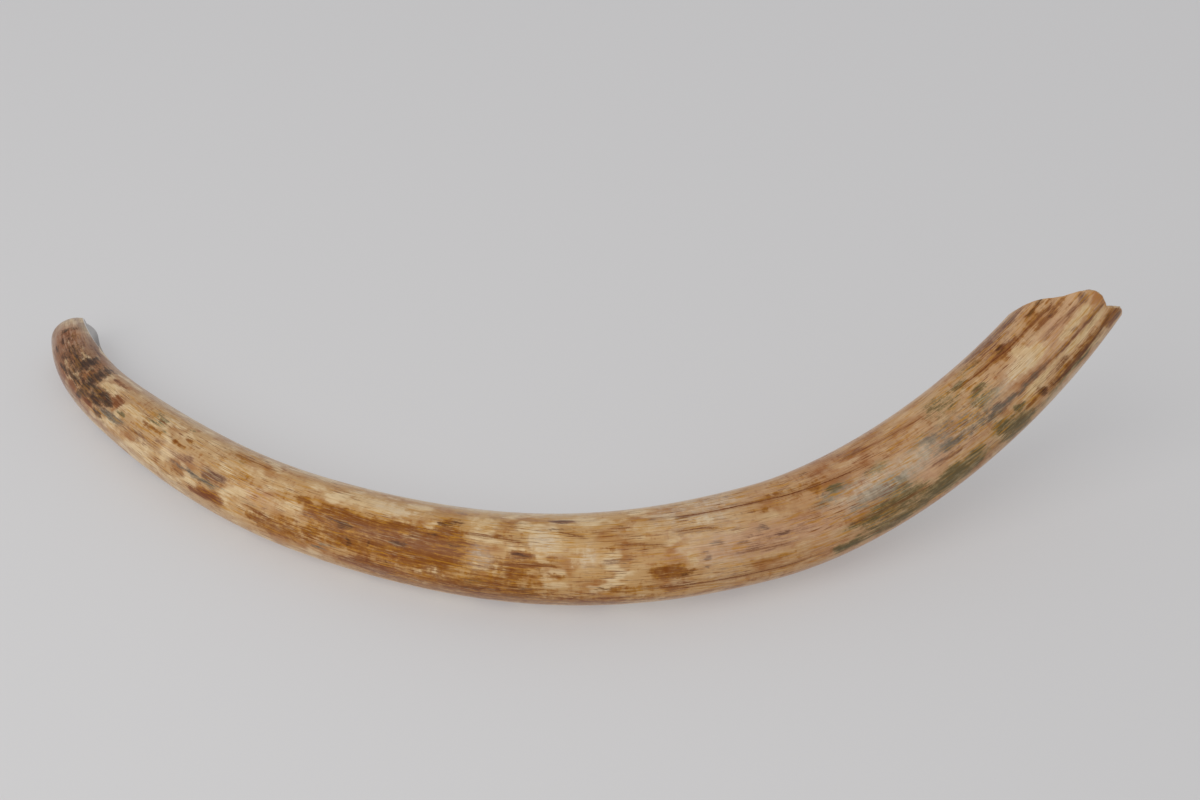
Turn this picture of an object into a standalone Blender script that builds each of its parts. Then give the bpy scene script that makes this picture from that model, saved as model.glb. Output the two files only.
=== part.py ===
"""A mammoth tusk lying on its belly: one grown body of ivory, hollow at the root.

Metres, +Z up. The ground is the plane z = 0, and the origin is on it, under the middle of the
tusk's box. The tip is to the left (-X), the hollow root rises to the right (+X).
"""
import math

import bmesh
import bpy
import numpy as np

MM = 0.001

# Driving sizes
LENGTH = 1500.0 * MM            # of the middle line, from the tip's dome to the root
DOME = 23.0 * MM                # how far the blunt tip rounds out past the first station
DOME_LEAN = 11.0 * MM           # how far its end leans to the inside of the bend
ROOT_RISE = 200.0 * MM          # how far the root end's belly stands above the ground
BELLY_END = 0.68                # share of the length where the belly leaves the ground
RISE_POWER = 1.8                # how gently it leaves: 1 is a straight ramp
ARCH_HEIGHT = 4.0 * MM          # the stretch between tip and belly clears the ground by this
ARCH_SPAN = (0.05, 0.32)        # where that stretch is, as shares of the length

# The grown curve. Each station gives its share of the length from the tip, the heading of the
# middle line in degrees from +X, and the radius in millimetres.
STATIONS = (
    (0.00, -78.5, 29.4),
    (0.06, -57.0, 32.0),
    (0.15, -45.5, 37.3),
    (0.30, -29.0, 43.8),
    (0.45, -13.5, 48.4),
    (0.60, 10.0, 52.6),
    (0.72, 23.5, 55.1),
    (0.85, 30.0, 53.2),
    (1.00, 36.0, 48.4),
)
TIP_PLACE = (-663.3 * MM, 305.0 * MM)   # the first station, before the box is centred

# The broken root rim: degrees round from the top towards the outside of the bend, and how far
# short of the full length the wall stops there, in millimetres.
RIM = (
    (-150, 76), (-120, 86), (-90, 88), (-60, 85), (-45, 81), (-30, 68), (-10, 48), (10, 31),
    (25, 14), (36, 5.5), (44, 3), (54, 3.5), (60, 5.5), (66, 7.6), (72, 9.5), (77, 8), (84, 4.8),
    (92, 2.9), (100, 2.6), (108, 4.5), (122, 9), (150, 30), (180, 58),
)
RIM_WALL = 6.0 * MM             # thickness of the broken wall
CAVITY_DEPTH = 300.0 * MM       # the pulp cavity's point lies this far below the full length
CAVITY_ROUNDNESS = 0.8          # under 1 bellies the cone out

# Relief that shows from a step away
GRAIN_TURN = 60.0               # degrees that the grain winds round from tip to root
FLUTES = ((3, 0.5 * MM, 40.0), (5, 0.35 * MM, 150.0), (8, 0.3 * MM, 75.0))  # number, depth, turn
FLUTE_START = 0.1               # share of the length over which the flutes grow from nothing
GROOVE_AT = 70.0                # degrees: the groove that runs down from the notch in the rim
GROOVE_DEPTH = 1.5 * MM
GROOVE_WIDTH = 8.0              # degrees
GROOVE_REACH = 0.13             # share of the length
FACET_CUT = (                   # millimetres down the tusk, and how deep the tip's worn face is
    (-23, 12.0), (-15, 10.0), (-8, 5.0), (0, 1.0), (12, 0.7), (60, 0.7), (85, 0.0),
)
FACET_EDGE = -30.0              # degrees: where its sharp edge crosses the dome's shoulder
FACET_SLANT = 0.45              # degrees per millimetre that the edge moves down the tusk
FACET_SLOPE = 0.8               # how steeply it falls away from the edge
FACET_FADE = (65.0, 125.0)      # degrees past the edge between which it runs out
SETTLE = 0.6 * MM               # what is lower than this is worn flat where it touches ground

# Mesh
SPOKES = 48
TUBE_RINGS = 58
DOME_RINGS = 7
CAVITY_RINGS = 9
AXIS_STEPS = 1500
SHARP_ANGLE = 40.0              # degrees: a fold sharper than this shows as an edge


def natural_cubic(xs, ys):
    """Return a function through the points, with no bending at its two ends."""
    xs = np.asarray(xs, float)
    ys = np.asarray(ys, float)
    gaps = np.diff(xs)
    slopes = np.diff(ys) / gaps
    count = len(xs)
    system = np.eye(count)
    right = np.zeros(count)
    for i in range(1, count - 1):
        system[i, i - 1:i + 2] = gaps[i - 1], 2 * (gaps[i - 1] + gaps[i]), gaps[i]
        right[i] = 6 * (slopes[i] - slopes[i - 1])
    bend = np.linalg.solve(system, right)

    def value(at):
        i = np.clip(np.searchsorted(xs, at) - 1, 0, count - 2)
        after = (at - xs[i]) / gaps[i]
        before = 1 - after
        curve = (before ** 3 - before) * bend[i] + (after ** 3 - after) * bend[i + 1]
        return before * ys[i] + after * ys[i + 1] + gaps[i] ** 2 / 6 * curve

    return value


def closed_cubic(points):
    """Return a smooth function of an angle in degrees that repeats every turn."""
    angles = np.array([point[0] for point in points], float)
    values = np.array([point[1] for point in points], float)
    turns = np.concatenate([angles - 360, angles, angles + 360])
    return natural_cubic(turns, np.tile(values, 3))


def belly_height(share):
    """Height of the tusk's underside over the ground."""
    past = np.clip((share - BELLY_END) / (1 - BELLY_END), 0, 1)
    arch = np.clip((share - ARCH_SPAN[0]) / (ARCH_SPAN[1] - ARCH_SPAN[0]), 0, 1)
    return ROOT_RISE * past ** RISE_POWER + ARCH_HEIGHT * np.sin(math.pi * arch) ** 2


def middle_line():
    """Points, directions and radii along the tusk's middle, from the tip to the root."""
    shares, headings, radii = np.array(STATIONS).T
    share = np.linspace(0, 1, AXIS_STEPS + 1)
    heading = np.radians(natural_cubic(shares, headings)(share))
    radius = natural_cubic(shares, radii)(share) * MM
    step = LENGTH / AXIS_STEPS
    height = radius + belly_height(share)
    climb = np.gradient(height, step)
    level = np.sqrt(1 - climb ** 2)
    along = np.stack([np.cos(heading) * level, np.sin(heading) * level, climb], -1)
    points = np.zeros((AXIS_STEPS + 1, 3))
    points[1:, :2] = np.cumsum((along[1:, :2] + along[:-1, :2]) / 2 * step, axis=0)
    points[:, :2] += TIP_PLACE
    points[:, 2] = height
    return points, along, radius


POINTS, ALONG, RADIUS = middle_line()
RIM_SHORT = closed_cubic(RIM)


def station(length_in):
    """Centre, direction, top, outer side and radius at a length along the tusk."""
    place = np.clip(length_in / LENGTH, 0, 1) * AXIS_STEPS
    low = min(int(place), AXIS_STEPS - 1)
    part = place - low
    centre = POINTS[low] * (1 - part) + POINTS[low + 1] * part
    along = ALONG[low] * (1 - part) + ALONG[low + 1] * part
    along = along / np.linalg.norm(along)
    top = np.array((0, 0, 1.0)) - along[2] * along
    top = top / np.linalg.norm(top)
    radius = RADIUS[low] * (1 - part) + RADIUS[low + 1] * part
    side = np.cross(along, top)
    if length_in < 0:
        out = -length_in / DOME
        centre = centre + along * length_in - DOME_LEAN * out ** 2 * side
        radius = radius * math.sqrt(max(0.0, 1 - out ** 2))
    return centre, along, top, side, radius


def angle_between(one, other):
    """Difference of two angles in degrees, between -180 and 180."""
    return (one - other + 180) % 360 - 180


def relief(share, angle):
    """What the flutes and the root groove add to the radius."""
    turned = math.radians(angle - GRAIN_TURN * (share - 1))
    fade = min(1.0, share / FLUTE_START)
    flutes = 0.0
    for number, depth, turn in FLUTES:
        flutes += depth * math.cos(number * turned + math.radians(turn))
    groove_at = GROOVE_AT + GRAIN_TURN * (share - 1)
    across = angle_between(angle, groove_at) / GROOVE_WIDTH
    reach = min(1.0, max(0.0, (share - 1 + GROOVE_REACH) / GROOVE_REACH))
    return flutes * fade - GROOVE_DEPTH * reach * math.exp(-across ** 2)


def tip_facet(length_in, angle, radius):
    """Depth of the face worn on the inner side of the tip."""
    down, depth = np.array(FACET_CUT).T * MM
    past = max(0.0, angle_between(FACET_EDGE - FACET_SLANT * length_in / MM, angle))
    fade = min(1.0, max(0.0, (FACET_FADE[1] - past) / (FACET_FADE[1] - FACET_FADE[0])))
    slope = FACET_SLOPE * math.radians(past) * radius
    return min(slope, float(np.interp(length_in, down, depth))) * fade


def outer_point(length_in, angle):
    """A point of the outside."""
    centre, _, top, side, radius = station(length_in)
    share = max(0.0, length_in / LENGTH)
    turn = math.radians(angle)
    reach = radius + relief(share, angle) - tip_facet(length_in, angle, radius)
    point = centre + reach * (math.cos(turn) * top + math.sin(turn) * side)
    if point[2] < SETTLE:
        point[2] = 0.0
    return point


def rim_length(angle):
    """Length along the tusk at which the broken wall stops."""
    return LENGTH - float(RIM_SHORT(angle)) * MM


def inner_point(inward, angle):
    """A point of the pulp cavity's wall: inward is 0 at the rim and 1 at the cavity's point."""
    start = rim_length(angle)
    length_in = start + (LENGTH - CAVITY_DEPTH - start) * inward
    centre, _, top, side, radius = station(length_in)
    share = length_in / LENGTH
    width = (radius + relief(share, angle) - RIM_WALL) * (1 - inward) ** CAVITY_ROUNDNESS
    turn = math.radians(angle)
    return centre + width * (math.cos(turn) * top + math.sin(turn) * side)


def rings():
    """All rings of the skin in order: the tip's dome, the tube, the rim, then the cavity."""
    angles = [360 * spoke / SPOKES + 180 / SPOKES for spoke in range(SPOKES)]
    skin = []
    for ring in range(1, DOME_RINGS + 1):
        length_in = -DOME * math.cos(math.pi / 2 * ring / (DOME_RINGS + 1))
        skin.append([outer_point(length_in, angle) for angle in angles])
    for ring in range(TUBE_RINGS + 1):
        part = ring / TUBE_RINGS
        skin.append([outer_point(rim_length(angle) * part, angle) for angle in angles])
    for ring in range(CAVITY_RINGS):
        inward = ring / CAVITY_RINGS
        skin.append([inner_point(inward, angle) for angle in angles])
    return skin


def skin_mesh(name):
    """Join the rings into one closed skin and centre its box over the origin."""
    mesh_skin = bmesh.new()
    loops = [[mesh_skin.verts.new(point) for point in ring] for ring in rings()]
    tip = mesh_skin.verts.new(station(-DOME)[0])
    bottom = mesh_skin.verts.new(station(LENGTH - CAVITY_DEPTH)[0])
    for spoke in range(SPOKES):
        following = (spoke + 1) % SPOKES
        mesh_skin.faces.new((tip, loops[0][following], loops[0][spoke]))
        for near, far in zip(loops, loops[1:]):
            mesh_skin.faces.new((near[spoke], near[following], far[following], far[spoke]))
        mesh_skin.faces.new((bottom, loops[-1][spoke], loops[-1][following]))
    bmesh.ops.recalc_face_normals(mesh_skin, faces=mesh_skin.faces)
    places = np.array([vert.co for vert in mesh_skin.verts])
    middle = (places.min(axis=0) + places.max(axis=0)) / 2
    bmesh.ops.translate(mesh_skin, vec=(-middle[0], -middle[1], 0), verts=mesh_skin.verts)
    mesh = bpy.data.meshes.new(name)
    mesh_skin.to_mesh(mesh)
    mesh_skin.free()
    return mesh


def ivory_material():
    """Polished, stained ivory."""
    material = bpy.data.materials.new("fossil_ivory")
    material.use_nodes = True
    shader = material.node_tree.nodes["Principled BSDF"]
    shader.inputs["Base Color"].default_value = (0.46, 0.29, 0.15, 1)
    shader.inputs["Roughness"].default_value = 0.35
    shader.inputs["Metallic"].default_value = 0.0
    return material


def clear_scene():
    for item in list(bpy.data.objects):
        bpy.data.objects.remove(item, do_unlink=True)


def make_tusk():
    mesh = skin_mesh("tusk")
    mesh.materials.append(ivory_material())
    mesh.shade_smooth()
    tusk = bpy.data.objects.new("tusk", mesh)
    bpy.context.scene.collection.objects.link(tusk)
    tusk.data.set_sharp_from_angle(angle=math.radians(SHARP_ANGLE))
    return tusk


clear_scene()
make_tusk()
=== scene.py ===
"""A mammoth tusk lying on its belly: one grown body of fossil ivory, stained and polished.

Metres, +Z up. The ground is the plane z = 0, the tip is to the left (-X), and the hollow root
rises to the right (+X).
"""
import math

import bpy
import numpy as np
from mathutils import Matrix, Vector


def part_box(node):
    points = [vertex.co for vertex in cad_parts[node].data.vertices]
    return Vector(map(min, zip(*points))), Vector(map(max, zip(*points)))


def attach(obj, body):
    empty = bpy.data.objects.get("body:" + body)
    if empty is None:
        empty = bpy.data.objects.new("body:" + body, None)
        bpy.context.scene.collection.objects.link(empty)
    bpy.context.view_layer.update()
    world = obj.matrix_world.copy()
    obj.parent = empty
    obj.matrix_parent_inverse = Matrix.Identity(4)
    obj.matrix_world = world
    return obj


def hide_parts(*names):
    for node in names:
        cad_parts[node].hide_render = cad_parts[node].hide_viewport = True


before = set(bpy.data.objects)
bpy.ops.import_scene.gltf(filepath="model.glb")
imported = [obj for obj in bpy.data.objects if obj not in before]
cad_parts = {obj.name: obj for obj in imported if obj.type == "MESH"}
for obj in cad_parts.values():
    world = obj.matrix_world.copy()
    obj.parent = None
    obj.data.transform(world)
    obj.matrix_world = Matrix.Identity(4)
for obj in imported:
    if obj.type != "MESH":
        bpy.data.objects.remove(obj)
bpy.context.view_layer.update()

# The grown curve. Ivory is laid down from inside, layer on layer, so the tusk is one solid body
# that curves round and thickens towards the root. It lies on its belly: the root end rises, and
# only the middle and the tip touch the ground.
MM = 0.001
LENGTH = 1500.0 * MM            # of the middle line, from the tip's dome to the root
DOME = 23.0 * MM                # how far the blunt tip rounds out past the first station
DOME_LEAN = 11.0 * MM           # how far its end leans to the inside of the bend
ROOT_RISE = 200.0 * MM          # how far the root end's belly stands above the ground
BELLY_END = 0.68                # share of the length where the belly leaves the ground
RISE_POWER = 1.8                # how gently it leaves: 1 is a straight ramp
ARCH_HEIGHT = 4.0 * MM          # the stretch between tip and belly clears the ground by this
ARCH_SPAN = (0.05, 0.32)        # where that stretch is, as shares of the length
STATIONS = (                    # share of the length, heading in degrees from +X, radius in mm
    (0.00, -78.5, 29.4),
    (0.06, -57.0, 32.0),
    (0.15, -45.5, 37.3),
    (0.30, -29.0, 43.8),
    (0.45, -13.5, 48.4),
    (0.60, 10.0, 52.6),
    (0.72, 23.5, 55.1),
    (0.85, 30.0, 53.2),
    (1.00, 36.0, 48.4),
)
AXIS_STEPS = 1500               # short steps in which the middle line is added up


def natural_cubic(xs, ys):
    """Return a function through the points, with no bending at its two ends."""
    xs = np.asarray(xs, float)
    ys = np.asarray(ys, float)
    gaps = np.diff(xs)
    slopes = np.diff(ys) / gaps
    count = len(xs)
    system = np.eye(count)
    right = np.zeros(count)
    for i in range(1, count - 1):
        system[i, i - 1:i + 2] = gaps[i - 1], 2 * (gaps[i - 1] + gaps[i]), gaps[i]
        right[i] = 6 * (slopes[i] - slopes[i - 1])
    bend = np.linalg.solve(system, right)

    def value(at):
        """The curve's value there."""
        i = np.clip(np.searchsorted(xs, at) - 1, 0, count - 2)
        after = (at - xs[i]) / gaps[i]
        before = 1 - after
        curve = (before ** 3 - before) * bend[i] + (after ** 3 - after) * bend[i + 1]
        return before * ys[i] + after * ys[i + 1] + gaps[i] ** 2 / 6 * curve

    return value


def belly_height(share):
    """Height of the tusk's underside over the ground."""
    past = np.clip((share - BELLY_END) / (1 - BELLY_END), 0, 1)
    arch = np.clip((share - ARCH_SPAN[0]) / (ARCH_SPAN[1] - ARCH_SPAN[0]), 0, 1)
    return ROOT_RISE * past ** RISE_POWER + ARCH_HEIGHT * np.sin(math.pi * arch) ** 2


def middle_line():
    """Points, directions and radii along the tusk's middle, from the tip to the root."""
    shares, headings, radii = np.array(STATIONS).T
    share = np.linspace(0, 1, AXIS_STEPS + 1)
    heading = np.radians(natural_cubic(shares, headings)(share))
    radius = natural_cubic(shares, radii)(share) * MM
    step = LENGTH / AXIS_STEPS
    height = radius + belly_height(share)
    climb = np.gradient(height, step)
    level = np.sqrt(1 - climb ** 2)
    along = np.stack([np.cos(heading) * level, np.sin(heading) * level, climb], -1)
    points = np.zeros((AXIS_STEPS + 1, 3))
    points[1:, :2] = np.cumsum((along[1:, :2] + along[:-1, :2]) / 2 * step, axis=0)
    points[:, 2] = height
    return points, along, radius


POINTS, ALONG, RADIUS = middle_line()


def station(length_in):
    """Centres, tops, outer sides and radii at lengths along the tusk."""
    place = np.clip(length_in / LENGTH, 0, 1) * AXIS_STEPS
    low = np.minimum(place.astype(int), AXIS_STEPS - 1)
    part = (place - low)[:, None]
    centre = POINTS[low] * (1 - part) + POINTS[low + 1] * part
    along = ALONG[low] * (1 - part) + ALONG[low + 1] * part
    along /= np.linalg.norm(along, axis=1, keepdims=True)
    top = np.array((0, 0, 1.0)) - along[:, 2:] * along
    top /= np.linalg.norm(top, axis=1, keepdims=True)
    radius = RADIUS[low] * (1 - part[:, 0]) + RADIUS[low + 1] * part[:, 0]
    side = np.cross(along, top)
    past = np.minimum(length_in, 0)
    out = -past / DOME
    centre = centre + along * past[:, None] - side * (DOME_LEAN * out ** 2)[:, None]
    radius = radius * np.sqrt(np.maximum(0, 1 - out ** 2))
    return centre, top, side, radius


# The skin. It isn't a perfect round: low flutes wind slowly round it with the grain, and use has
# worn the tip's inner side to a shallow face with one sharp edge. Old cracks have closed to fine
# grooves, and a deeper groove runs down from the notch in the root's rim.
GRAIN_TURN = 60.0               # degrees that the grain winds round from tip to root
FLUTES = (                      # how many go round, their depth, and degrees that they are turned
    (3, 0.5 * MM, 40.0), (5, 0.35 * MM, 150.0), (8, 0.3 * MM, 75.0),
)
FLUTE_START = 0.1               # share of the length over which the flutes grow from nothing
GROOVE_AT = 70.0                # degrees round, at the root
GROOVE_DEPTH = 1.5 * MM
GROOVE_WIDTH = 8.0              # degrees to each side
GROOVE_REACH = 0.13             # share of the length over which it fades out
FACET_CUT = (                   # millimetres down the tusk, and how deep the worn face is there
    (-23, 12.0), (-15, 10.0), (-8, 5.0), (0, 1.0), (12, 0.7), (60, 0.7), (85, 0.0),
)
FACET_EDGE = -30.0              # degrees: where its sharp edge crosses the dome's shoulder
FACET_SLANT = 0.45              # degrees per millimetre that the edge moves down the tusk
FACET_SLOPE = 0.8               # how steeply it falls away from the edge
FACET_FADE = (65.0, 125.0)      # degrees past the edge between which it runs out
SETTLE = 0.6 * MM               # what is lower than this is worn flat where it touches ground
CRACK_BAND = 5.0 * MM           # how far to each side of a crack its line is known
CRACK_ENDS = 0.22               # share of a crack's own length over which each end fades in
CRACK_SIDES = 0.6               # share of the band beyond which it fades out
CRACK_DENT = 0.35 * MM
CRACK_DENT_WIDTH = 1.6 * MM

# Each crack or dark grain line: strength, then (share, degrees) points along it.
CRACKS = (
    (1.0, ((0.583, -6), (0.600, -3), (0.620, 1), (0.660, 3), (0.685, 5), (0.705, 7.5), (0.740, 11),
           (0.775, 14), (0.787, 21))),
    (0.8, ((0.603, 20.5), (0.628, 22.5), (0.642, 28))),
    (0.7, ((0.563, 29), (0.585, 32), (0.603, 36))),
    (0.9, ((0.573, 87), (0.600, 90), (0.630, 91), (0.670, 92), (0.715, 92))),
    (0.5, ((0.750, -12), (0.780, -8), (0.805, -4), (0.835, -2))),
    (1.0, ((0.862, -2), (0.880, 0), (0.905, 1.5), (0.918, 4.5), (0.940, 4), (0.960, 7), (0.985, 7.5))),
    (0.5, ((0.936, 28), (0.960, 30), (0.985, 37), (0.996, 38))),
    (0.4, ((0.898, 50), (0.925, 54), (0.950, 58), (0.985, 61))),
    (0.7, ((0.453, 20), (0.470, 20.5), (0.503, 24))),
    (0.8, ((0.522, 8), (0.530, 11), (0.546, 18))),
    (0.8, ((0.284, 62), (0.297, 64), (0.308, 68), (0.314, 66))),
    (0.7, ((0.213, 65), (0.222, 67), (0.229, 69))),
    (0.5, ((0.248, -7.5), (0.275, -8), (0.303, -7))),
    (0.7, ((0.484, 54), (0.505, 53.5), (0.530, 55))),
    (0.6, ((0.727, 69), (0.750, 70), (0.775, 73), (0.800, 75))),
    (0.4, ((0.640, 61), (0.665, 62), (0.692, 63))),
    (0.5, ((0.650, 77), (0.672, 79), (0.690, 78))),
    (0.4, ((0.930, 14), (0.955, 17), (0.982, 19))),
    (0.5, ((0.925, 84), (0.950, 86), (0.980, 84))),
    (0.4, ((0.545, 99), (0.565, 101), (0.580, 100))),
)
FAR_CRACKS = (
    (0.9, ((0.350, 205), (0.430, 209), (0.520, 214), (0.600, 217))),
    (0.7, ((0.660, 240), (0.740, 246), (0.820, 250))),
    (0.8, ((0.560, 170), (0.640, 176), (0.700, 181))),
    (0.9, ((0.800, 205), (0.870, 211), (0.930, 214))),
    (0.6, ((0.180, 225), (0.260, 229), (0.330, 236))),
    (0.6, ((0.700, 290), (0.780, 293), (0.850, 298))),
)


def angle_between(one, other):
    """Difference of two angles in degrees, between -180 and 180."""
    return (one - other + 180) % 360 - 180


def smooth_step(low, high, value):
    """Value eased to between 0 at low and 1 at high."""
    part = np.clip((value - low) / (high - low), 0, 1)
    return part * part * (3 - 2 * part)


def relief(share, angle):
    """What the flutes and the root groove add to the radius."""
    turned = np.radians(angle - GRAIN_TURN * (share - 1))
    fade = np.clip(share / FLUTE_START, 0, 1)
    flutes = sum(
        depth * np.cos(number * turned + math.radians(turn)) for number, depth, turn in FLUTES
    )
    groove_at = GROOVE_AT + GRAIN_TURN * (share - 1)
    across = angle_between(angle, groove_at) / GROOVE_WIDTH
    reach = np.clip((share - 1 + GROOVE_REACH) / GROOVE_REACH, 0, 1)
    return flutes * fade - GROOVE_DEPTH * reach * np.exp(-across ** 2)


def past_edge(length_in, angle):
    """Degrees past the sharp edge of the face worn on the tip's inner side."""
    return angle_between(FACET_EDGE - FACET_SLANT * length_in / MM, angle)


def tip_facet(length_in, angle, radius):
    """Depth of the face worn on the tip's inner side."""
    down, depth = np.array(FACET_CUT).T * MM
    past = np.maximum(0, past_edge(length_in, angle))
    fade = np.clip((FACET_FADE[1] - past) / (FACET_FADE[1] - FACET_FADE[0]), 0, 1)
    slope = FACET_SLOPE * np.radians(past) * radius
    return np.minimum(slope, np.interp(length_in, down, depth)) * fade


def crack_lines(share, angle, radius):
    """Signed distance to the nearest crack, and how strong it is there."""
    nearest = np.full(len(share), CRACK_BAND)
    strength = np.zeros(len(share))
    for deepest, places in CRACKS + FAR_CRACKS:
        shares, angles = np.array(places, float).T
        middle = np.interp(share, shares, angles)
        aside = np.radians(angle_between(angle, middle)) * radius
        ends = np.minimum(share - shares[0], shares[-1] - share) / (shares[-1] - shares[0])
        here = (ends > 0) & (np.abs(aside) < CRACK_BAND) & (np.abs(aside) < np.abs(nearest))
        nearest = np.where(here, aside, nearest)
        run = deepest * smooth_step(0, CRACK_ENDS, ends)
        run = run * smooth_step(1, CRACK_SIDES, np.abs(aside) / CRACK_BAND)
        strength = np.where(here, run, strength)
    return nearest, strength


def outer_points(length_in, angle):
    """Points of the tusk's outside at lengths along it and degrees round it."""
    centre, top, side, radius = station(length_in)
    share = np.maximum(0, length_in / LENGTH)
    turn = np.radians(angle)[:, None]
    aside, strength = crack_lines(share, angle, radius)
    dent = CRACK_DENT * strength * np.exp(-(aside / CRACK_DENT_WIDTH) ** 2)
    reach = (radius + relief(share, angle) - tip_facet(length_in, angle, radius) - dent)[:, None]
    points = centre + reach * (np.cos(turn) * top + np.sin(turn) * side)
    points[points[:, 2] < SETTLE, 2] = 0
    return points


# The root. It was torn from its socket, so the wall ends in an oblique break, with a notch and a
# lip on the outside of the bend. Behind the break is the pulp cavity, a hollow cone that
# narrows to a point inside the tusk.
RIM = (                         # degrees, and how far short of the full length the wall stops, mm
    (-150, 76), (-120, 86), (-90, 88), (-60, 85), (-45, 81), (-30, 68), (-10, 48), (10, 31),
    (25, 14), (36, 5.5), (44, 3), (54, 3.5), (60, 5.5), (66, 7.6), (72, 9.5), (77, 8), (84, 4.8),
    (92, 2.9), (100, 2.6), (108, 4.5), (122, 9), (150, 30), (180, 58),
)
RIM_WALL = 6.0 * MM             # thickness of the broken wall
RIM_CHIPS = 1.3 * MM            # how deep the break's small chips are
RIM_CHIP_LAYERS = (             # share of that depth, length and degrees of a chip, seed
    (0.6, 10.0 * MM, 6.0, 11), (0.4, 10.0 * MM, 2.5, 12),
)
LIP_SWELL = (1.2, 0.8)          # how far the broken face stands out, and how far that varies, mm
LIP_CELL = (60.0 * MM, 4.0)     # length and degrees of its lumps
LIP_SEED = 14
CAVITY_DEPTH = 300.0 * MM       # the cavity's point lies this far below the full length
CAVITY_ROUNDNESS = 0.8          # under 1 bellies the cone out
CAVITY_STEPS = 0.5 * MM         # height of the growth rings inside the cavity
CAVITY_STEP_CELL = (7.0 * MM, 60.0)     # length and degrees of one ring
CAVITY_STEP_SEED = 13
CAVITY_STEP_GROWTH = 8.0        # the rings reach their height an eighth of the way in
WANDER_START = 0.1              # random values start this share of the length before the tusk
WANDER_SPAN = 1.2               # and cover this share of it
SPOKES = 180                    # points round each ring of the skin
DOME_RINGS = 14
TUBE_RINGS = 455
LIP_RINGS = 4
CAVITY_RINGS = 46
SHARP_FROM = 40.0               # degrees: a sharper fold than this stays a sharp edge


def closed_cubic(points):
    """Return a smooth function of an angle in degrees that repeats every turn."""
    angles = np.array([point[0] for point in points], float)
    values = np.array([point[1] for point in points], float)
    turns = np.concatenate([angles - 360, angles, angles + 360])
    return natural_cubic(turns, np.tile(values, 3))


RIM_SHORT = closed_cubic(RIM)


def wander(share, angle, cell_length, cell_angle, seed):
    """Smooth random values from -1 to 1, in cells of that length along and that angle round."""
    rows = int(LENGTH * WANDER_SPAN / cell_length) + 2
    columns = round(360 / cell_angle)
    grid = np.random.default_rng(seed).uniform(-1, 1, (rows, columns))
    row = np.clip((share + WANDER_START) * LENGTH / cell_length, 0, rows - 1.001)
    column = (angle % 360) / 360 * columns
    low_row, low_column = row.astype(int), column.astype(int)
    down = smooth_step(0, 1, row - low_row)
    over = smooth_step(0, 1, column - low_column)
    low_column = low_column % columns
    next_column = (low_column + 1) % columns
    near = grid[low_row, low_column] * (1 - over) + grid[low_row, next_column] * over
    far = grid[low_row + 1, low_column] * (1 - over) + grid[low_row + 1, next_column] * over
    return near * (1 - down) + far * down


def wander_layers(share, angle, layers, start=0):
    """Random values added up, from layers of (size, cell length, cell degrees, seed)."""
    return sum((size * wander(share, angle, *cell) for size, *cell in layers), start)


def rim_length(angle):
    """Length along the tusk at which the broken wall stops."""
    chips = wander_layers(np.ones(len(angle)), angle, RIM_CHIP_LAYERS, 1)
    return LENGTH - RIM_SHORT(angle) * MM - RIM_CHIPS / 2 * chips


def inner_points(inward, angle, start):
    """Points of the pulp cavity's wall: inward is 0 at the rim and 1 at the cavity's point."""
    length_in = start + (LENGTH - CAVITY_DEPTH - start) * inward
    centre, top, side, radius = station(length_in)
    share = length_in / LENGTH
    width = (radius + relief(share, angle) - RIM_WALL) * (1 - inward) ** CAVITY_ROUNDNESS
    steps = 1 + wander(share, angle, *CAVITY_STEP_CELL, CAVITY_STEP_SEED)
    width -= CAVITY_STEPS * np.minimum(1, inward * CAVITY_STEP_GROWTH) * steps * (1 - inward)
    turn = np.radians(angle)[:, None]
    return centre + width[:, None] * (np.cos(turn) * top + np.sin(turn) * side), length_in


def lip_points(across, angle, start):
    """Points of the broken rim's face, across its wall from the outside, 0, to the inside, 1."""
    outer = outer_points(start, angle)
    inner, _ = inner_points(np.zeros(len(angle)), angle, start)
    seed = LIP_SEED + int(across * 10)
    rough = wander(np.ones(len(angle)) * across, angle, *LIP_CELL, seed)
    swell = math.sin(math.pi * across) * (LIP_SWELL[0] + LIP_SWELL[1] * rough) * MM
    forward = ALONG[-1] * swell[:, None]
    return outer * (1 - across) + inner * across + forward


def tusk_skin():
    """All points of the skin with what the finish needs to know at each of them."""
    angle = np.arange(SPOKES) * 360 / SPOKES + 180 / SPOKES
    start = rim_length(angle)
    rows, lengths, inside = [], [], []

    def add(points, length_in, depth):
        """Keep one ring of points. Depth is 0 outside, 1 in the cavity."""
        rows.append(points)
        lengths.append(length_in)
        inside.append(np.full(SPOKES, depth))

    for ring in range(1, DOME_RINGS + 1):
        length_in = np.full(SPOKES, -DOME * math.cos(math.pi / 2 * ring / (DOME_RINGS + 1)))
        add(outer_points(length_in, angle), length_in, 0.0)
    for ring in range(TUBE_RINGS + 1):
        length_in = start * ring / TUBE_RINGS
        add(outer_points(length_in, angle), length_in, 0.0)
    for ring in range(1, LIP_RINGS):
        add(lip_points(ring / LIP_RINGS, angle, start), start, 0.5)
    for ring in range(CAVITY_RINGS):
        points, length_in = inner_points(np.full(SPOKES, ring / CAVITY_RINGS), angle, start)
        add(points, length_in, 1.0)
    ends = station(np.array([-DOME, LENGTH - CAVITY_DEPTH]))[0]
    points = np.concatenate(rows + [ends])
    share = np.concatenate(lengths + [[-DOME, LENGTH - CAVITY_DEPTH]]) / LENGTH
    angles = np.concatenate([np.tile(angle, len(rows)), [0, 0]])
    hollow = np.concatenate(inside + [[0.0, 1.0]])
    return points, share, angles, hollow, len(rows)


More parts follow.
